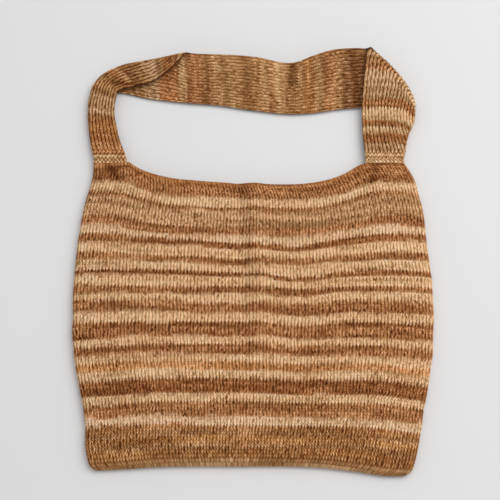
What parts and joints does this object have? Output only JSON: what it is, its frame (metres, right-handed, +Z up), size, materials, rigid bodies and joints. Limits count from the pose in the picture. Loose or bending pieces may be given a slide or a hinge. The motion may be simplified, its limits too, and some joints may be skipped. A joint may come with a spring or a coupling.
{
  "type": "knitted bilum shoulder bag",
  "caption": "Striped hand-knitted shoulder bag lying flat: one open-mouthed stockinette pouch with a wide ribbed strap folded above it",
  "frame": {"origin": "middle of the footprint of the whole bag and strap, on the surface it lies on", "axes": "+X to the right across the front, +Y from the bottom seam towards the strap, +Z up out of the front of the lying bag"},
  "size_m": [0.3704, 0.482, 0.0359],
  "materials": {
    "body_knit": "matte hand-knitted stockinette in variegated tan, cream, rust and dark brown stripes",
    "strap_rib": "matte hand-knitted rib in variegated tan and brown, with a knobbly join band at each end"
  },
  "bodies": {
    "root": {"body": "body_knit", "strap": "strap_rib"}
  },
  "joints": []
}
